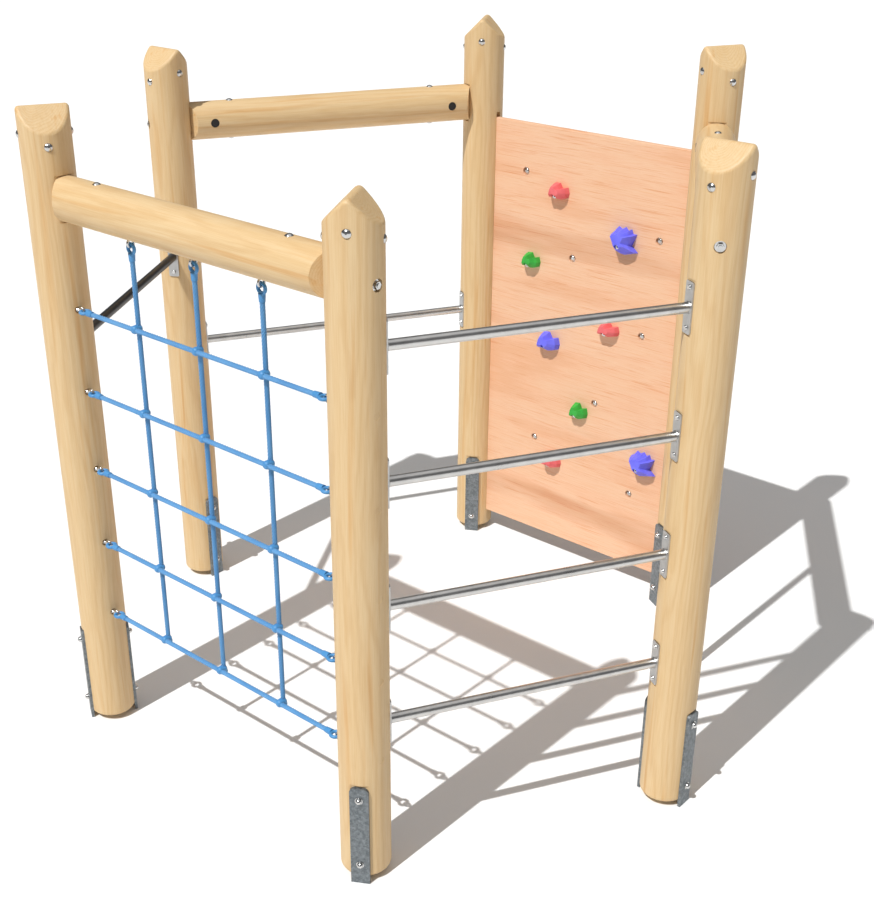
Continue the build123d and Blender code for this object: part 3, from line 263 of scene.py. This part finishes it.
zinc = add_node(tree, "ShaderNodeMix", {
    0: 1.0, 6: zinc, 7: dull}, data_type="RGBA", blend_type="MULTIPLY").outputs[2]
tree.links.new(zinc, shader.inputs["Base Color"])
shader.inputs["Metallic"].default_value = 0.7
tree.links.new(add_node(tree, "ShaderNodeMapRange", {
    "Value": spangle, "To Min": 0.42, "To Max": 0.62}).outputs["Result"],
    shader.inputs["Roughness"])
for name in nodes:
    if name.startswith("anchors_"):
        dress(name, material)


# ---------------------------------------------------------------- steel parts
# Rungs, bars and the sliding pole: stainless tube, ground and polished round
# its girth, so its highlights run as bands along it. The end plates are left
# satin and the screws, caps and eyes are bright.
HAZE_MM = 100 / 3             # cloudy patches left by the polishing mop
HAZE_SPREAD = 0.08            # how much rougher the dullest patches are


def stainless(name, tones, roughness):
    """Stainless steel from its darkest and lightest tone and its least roughness."""
    material, tree, shader, place = start_material(name)
    haze = add_node(tree, "ShaderNodeTexNoise", {
        "Vector": place, "Scale": 1000 / HAZE_MM, "Detail": 3.0})
    grey = add_node(tree, "ShaderNodeValToRGB", {
        "Fac": haze.outputs["Fac"]}, stops=((0.3, tones[0]), (0.7, tones[1])))
    tree.links.new(grey.outputs["Color"], shader.inputs["Base Color"])
    shader.inputs["Metallic"].default_value = 1.0
    tree.links.new(add_node(tree, "ShaderNodeMapRange", {
        "Value": haze.outputs["Fac"], "To Min": roughness,
        "To Max": roughness + HAZE_SPREAD}).outputs["Result"], shader.inputs["Roughness"])
    return material


polished_tube = stainless("polished_stainless_tube", ("#C4C3C1", "#D2D1CF"), 0.25)
for name in ("rung_1", "rung_2", "rung_3", "rung_4", "pole", "mid_bar"):
    dress(name, polished_tube)
satin_plate = stainless("satin_stainless_plate", ("#B0B0AF", "#C2C2C1"), 0.34)
for name in ("bar_plates", "pole_collar"):
    dress(name, satin_plate)
bright_fastener = stainless("bright_stainless_fastener", ("#C4C4C3", "#D8D8D7"), 0.16)
for name in ("bar_screws", "post_eye_bolts", "beam_eyes", "sunk_nuts", "beam_studs",
             "cross_dowels", "tie_rods", "dome_nuts", "anchor_bolts", "anchor_nuts",
             "hold_bolts", "hold_nuts"):
    dress(name, bright_fastener)

# ---------------------------------------------------------------- high bar
# The highest turning bar: the same tube coloured near black, with a faint ripple on its surface that
# softens its reflections.
SURFACE_RIPPLE_MM = 4.5
material, tree, shader, place = start_material("near_black_tube")
surface_ripple = add_node(tree, "ShaderNodeTexNoise", {"Vector": place, "Scale": 1000 / SURFACE_RIPPLE_MM})
black = add_node(tree, "ShaderNodeValToRGB", {
    "Fac": surface_ripple.outputs["Fac"]}, stops=((0.3, "#1A1B1D"), (0.7, "#222326")))
tree.links.new(black.outputs["Color"], shader.inputs["Base Color"])
shader.inputs["Roughness"].default_value = 0.3
bump = add_node(tree, "ShaderNodeBump", {
    "Height": surface_ripple.outputs["Fac"], "Strength": 0.1, "Distance": 0.0003})
tree.links.new(bump.outputs["Normal"], shader.inputs["Normal"])
dress("high_bar", material)


# ---------------------------------------------------------------- net fittings
# Joiners and rope ends moulded in blue nylon with a fine matt grit, and the
# black plugs in the beams.
GRIT_MM = 1.2
GRIT_DEPTH = 0.0004           # in metres
SHADE_MM = 40.0               # slow change of tone where the melt flowed


def moulded(name, tones, roughness):
    """Moulded or cast plastic from its darkest and lightest tone."""
    material, tree, shader, place = start_material(name)
    shade = add_node(tree, "ShaderNodeTexNoise", {"Vector": place, "Scale": 1000 / SHADE_MM})
    grit = add_node(tree, "ShaderNodeTexNoise", {"Vector": place, "Scale": 1000 / GRIT_MM})
    colour = add_node(tree, "ShaderNodeValToRGB", {
        "Fac": shade.outputs["Fac"]}, stops=((0.3, tones[0]), (0.7, tones[1])))
    tree.links.new(colour.outputs["Color"], shader.inputs["Base Color"])
    shader.inputs["Roughness"].default_value = roughness
    bump = add_node(tree, "ShaderNodeBump", {
        "Height": grit.outputs["Fac"], "Strength": 0.35, "Distance": GRIT_DEPTH})
    tree.links.new(bump.outputs["Normal"], shader.inputs["Normal"])
    return material


nylon = moulded("moulded_nylon_blue", ("#4489C2", "#5093CB"), 0.42)
for name in ("rope_joiners", "rope_sockets"):
    dress(name, nylon)
dress("beam_plugs", moulded("moulded_plug_black", ("#0D0D0E", "#161617"), 0.45))

# ---------------------------------------------------------------- ropes
# Six-strand rope: steel wires in each strand, wrapped in blue polyamide
# yarn, laid up right-handed. Every rope is pulled straight between its ends.
ROPE_R = 0.008
STRANDS = 6
STRAND_POINTS = 7             # points of the section on each strand
LAY = 0.066                   # length of one full twist of the strands
LAY_STEPS = 22                # rings of points in one full twist
GROOVE = 0.26                 # depth of the grooves as a share of the radius
GROOVE_POWER = 0.7            # below 1 for full strands and narrow grooves
YARN_MM = 1.5
YARN_DEPTH = 0.0005           # in metres
FADE_MM = 250 / 3             # patches faded by sun and hands
YARN_TONES = ((0.3, "#4E8FC4"), (0.7, "#5E9DCF"))
FUZZ_TONES = ((0.35, "#D3DFEE"), (0.6, "#FFFFFF"))
LEVEL_HEADING = math.radians(-30.0)
yarn_material, tree, shader, place = start_material("polyamide_yarn_blue")
yarn = add_node(tree, "ShaderNodeTexNoise", {
    "Vector": place, "Scale": 1000 / YARN_MM, "Roughness": 0.6}).outputs["Fac"]
fade = add_node(tree, "ShaderNodeTexNoise", {"Vector": place, "Scale": 1000 / FADE_MM}).outputs["Fac"]
blue = add_node(tree, "ShaderNodeValToRGB", {"Fac": fade}, stops=YARN_TONES).outputs["Color"]
fuzz = add_node(tree, "ShaderNodeValToRGB", {"Fac": yarn}, stops=FUZZ_TONES).outputs["Color"]
blue = add_node(tree, "ShaderNodeMix", {
    0: 0.8, 6: blue, 7: fuzz}, data_type="RGBA", blend_type="MULTIPLY").outputs[2]
tree.links.new(blue, shader.inputs["Base Color"])
shader.inputs["Roughness"].default_value = 0.6
shader.inputs["Sheen Weight"].default_value = 0.2
bump = add_node(tree, "ShaderNodeBump", {
    "Height": yarn, "Strength": 0.4, "Distance": YARN_DEPTH})
tree.links.new(bump.outputs["Normal"], shader.inputs["Normal"])


def laid_rope(node, length, middle, turn):
    """Screws a lobed section up into a laid rope, closes it and lays it in place."""
    bpy.ops.object.select_all(action="DESELECT")
    bpy.ops.mesh.primitive_circle_add(vertices=STRANDS * STRAND_POINTS, radius=ROPE_R)
    rope = bpy.context.object
    rope.name = node + "_laid"
    for vertex in rope.data.vertices:
        angle = math.atan2(vertex.co.y, vertex.co.x)
        lobe = abs(math.cos(angle * STRANDS / 2)) ** GROOVE_POWER
        vertex.co *= 1.0 - GROOVE * (1.0 - lobe)
    screw = rope.modifiers.new("lay", "SCREW")
    screw.angle = math.tau * length / LAY
    screw.screw_offset = length
    screw.steps = screw.render_steps = int(LAY_STEPS * length / LAY)
    screw.use_smooth_shade = True
    bpy.ops.object.modifier_apply(modifier="lay")
    bpy.ops.object.mode_set(mode="EDIT")
    bpy.ops.mesh.select_all(action="SELECT")
    bpy.ops.mesh.fill_holes(sides=0)
    bpy.ops.mesh.select_all(action="SELECT")
    bpy.ops.mesh.normals_make_consistent(inside=False)
    bpy.ops.object.mode_set(mode="OBJECT")
    rope.data.transform(Matrix.Translation((0, 0, -length / 2)))
    rope.data.transform(Matrix.Translation(middle) @ turn)
    rope.data.materials.append(yarn_material)
    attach(rope, "root")
    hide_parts(node)


for node in sorted(nodes):
    if node.startswith("rope_upright") or node.startswith("rope_level"):
        low, high = Vector(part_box(node)[0]), Vector(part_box(node)[1])
        if node.startswith("rope_upright"):
            laid_rope(node, high.z - low.z, (low + high) / 2, Matrix.Identity(4))
        else:
            across = 2 * ROPE_R * abs(math.sin(LEVEL_HEADING))
            length = (high.x - low.x - across) / math.cos(LEVEL_HEADING)
            lying = Matrix.Rotation(math.radians(90), 4, "Y")
            laid_rope(node, length, (low + high) / 2, Matrix.Rotation(LEVEL_HEADING, 4, "Z") @ lying)


# ---------------------------------------------------------------- holds
# Grips cast in coloured polyester resin with sand in it: facets with soft
# worn edges, and a matt grit that fingers hold on.
EDGE = 0.0015                 # rounding of the facet edges, in metres
WELD = 0.00002                # loose corners closer than this are one
FLAT = 4                      # degrees: faces that turn less become one facet
CREASE = 14                   # degrees: edges that turn more are worn round
SMOOTH = 9                    # degrees: edges that turn less shade smooth
RESIN_ROUGHNESS = 0.55
HOLD_TONES = {
    "red": ("#DE6064", "#E87074"),
    "blue": ("#6466EC", "#7275F6"),
    "green": ("#289C33", "#38B242"),
}


def cast_grips(node, resin):
    """Copies the plain grips of a node, rounds their edges and dresses them."""
    bpy.ops.object.select_all(action="DESELECT")
    grips = bpy.data.objects.new(node + "_cast", nodes[node].data.copy())
    bpy.context.collection.objects.link(grips)
    grips.select_set(True)
    bpy.context.view_layer.objects.active = grips
    bpy.ops.object.mode_set(mode="EDIT")
    bpy.ops.mesh.select_all(action="SELECT")
    bpy.ops.mesh.remove_doubles(threshold=WELD)
    bpy.ops.mesh.dissolve_limited(angle_limit=math.radians(FLAT))
    bpy.ops.object.mode_set(mode="OBJECT")
    bevel = grips.modifiers.new("edges", "BEVEL")
    bevel.width = EDGE
    bevel.segments = 2
    bevel.limit_method = "ANGLE"
    bevel.angle_limit = math.radians(CREASE)
    bpy.ops.object.modifier_apply(modifier="edges")
    bpy.ops.object.shade_smooth_by_angle(angle=math.radians(SMOOTH))
    grips.data.materials.clear()
    grips.data.materials.append(resin)
    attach(grips, "root")
    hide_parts(node)


for colour, tones in HOLD_TONES.items():
    resin = moulded("cast_resin_" + colour, tones, RESIN_ROUGHNESS)
    for node in sorted(nodes):
        if node.startswith("hold_" + colour) or node == "outer_holds_" + colour:
            cast_grips(node, resin)

# ---------------------------------------------------------------- stage
# A pale floor, a hard light from high on the front left, and a soft one
# straight overhead that the tubes reflect as a pale band.
FLOOR_SIZE = 160.0
TOWARD_SUN = Vector((-0.515, -0.857, 1.483)).normalized()
SUN_STRENGTH = 3.3
SUN_WIDTH = 0.6               # degrees
SKY_STRENGTH = 0.84
SKY_TONES = (                 # from the horizon to overhead
    (0.0, "#8A8A8C"), (0.1, "#727274"), (0.74, "#727274"), (0.88, "#F3F3F3"), (1.0, "#F6F6F6"))
bpy.ops.object.select_all(action="DESELECT")
bpy.ops.mesh.primitive_plane_add(size=FLOOR_SIZE)
floor = bpy.context.object
floor.name = "floor"
material, tree, shader, place = start_material("pale_floor")
shader.inputs["Base Color"].default_value = linear("#F5F5F4")
shader.inputs["Roughness"].default_value = 0.9
shader.inputs["Specular IOR Level"].default_value = 0.1
floor.data.materials.append(material)

sun_data = bpy.data.lights.new("sun", "SUN")
sun_data.energy = SUN_STRENGTH
sun_data.angle = math.radians(SUN_WIDTH)
sun = bpy.data.objects.new("sun", sun_data)
sun.rotation_euler = TOWARD_SUN.to_track_quat("Z", "Y").to_euler()
bpy.context.collection.objects.link(sun)
world = bpy.data.worlds.new("sky")
world.use_nodes = True
tree = world.node_tree
height = add_node(tree, "ShaderNodeSeparateXYZ", {
    "Vector": add_node(tree, "ShaderNodeTexCoord").outputs["Generated"]}).outputs["Z"]
sky = add_node(tree, "ShaderNodeValToRGB", {"Fac": height}, stops=SKY_TONES)
background = tree.nodes["Background"]
tree.links.new(sky.outputs["Color"], background.inputs["Color"])
background.inputs["Strength"].default_value = SKY_STRENGTH
bpy.context.scene.world = world
